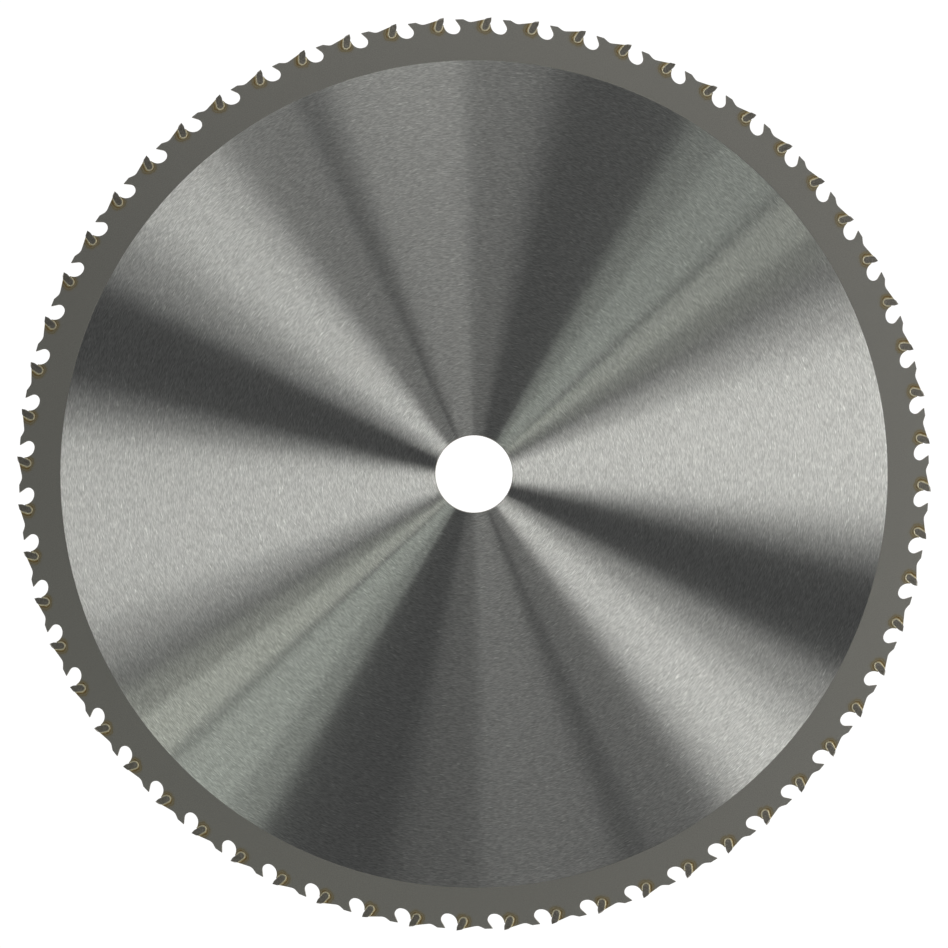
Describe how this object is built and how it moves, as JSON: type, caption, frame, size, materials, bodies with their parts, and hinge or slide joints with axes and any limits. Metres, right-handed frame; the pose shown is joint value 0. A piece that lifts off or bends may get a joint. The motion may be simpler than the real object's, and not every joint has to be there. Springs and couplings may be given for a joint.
{
  "type": "tct circular saw blade",
  "caption": "Flat round steel saw plate with a plain arbor bore and brazed carbide tips around its rim, ground alternately trapezoid and flat for cutting metal profiles and boards.",
  "frame": {"origin": "centre of the arbor bore, at the middle of the plate's thickness", "axes": "+Z along the bore; seen from +Z the cutting edges lead clockwise and the first trapezoid cutting edge lies on +X"},
  "size_m": [0.355, 0.3546, 0.0024],
  "materials": {
    "plate_steel": "circular ground inside, matt at the rim",
    "carbide": "fine ground, satin"
  },
  "bodies": {
    "root": {"saw_plate": "plate_steel", "tip_pair_01": "carbide", "tip_pair_02": "carbide", "tip_pair_03": "carbide", "tip_pair_04": "carbide", "tip_pair_05": "carbide", "tip_pair_06": "carbide", "tip_pair_07": "carbide", "tip_pair_08": "carbide", "tip_pair_09": "carbide", "tip_pair_10": "carbide", "tip_pair_11": "carbide", "tip_pair_12": "carbide", "tip_pair_13": "carbide", "tip_pair_14": "carbide", "tip_pair_15": "carbide", "tip_pair_16": "carbide", "tip_pair_17": "carbide", "tip_pair_18": "carbide", "tip_pair_19": "carbide", "tip_pair_20": "carbide", "tip_pair_21": "carbide", "tip_pair_22": "carbide", "tip_pair_23": "carbide", "tip_pair_24": "carbide", "tip_pair_25": "carbide", "tip_pair_26": "carbide", "tip_pair_27": "carbide", "tip_pair_28": "carbide", "tip_pair_29": "carbide", "tip_pair_30": "carbide"}
  },
  "joints": []
}
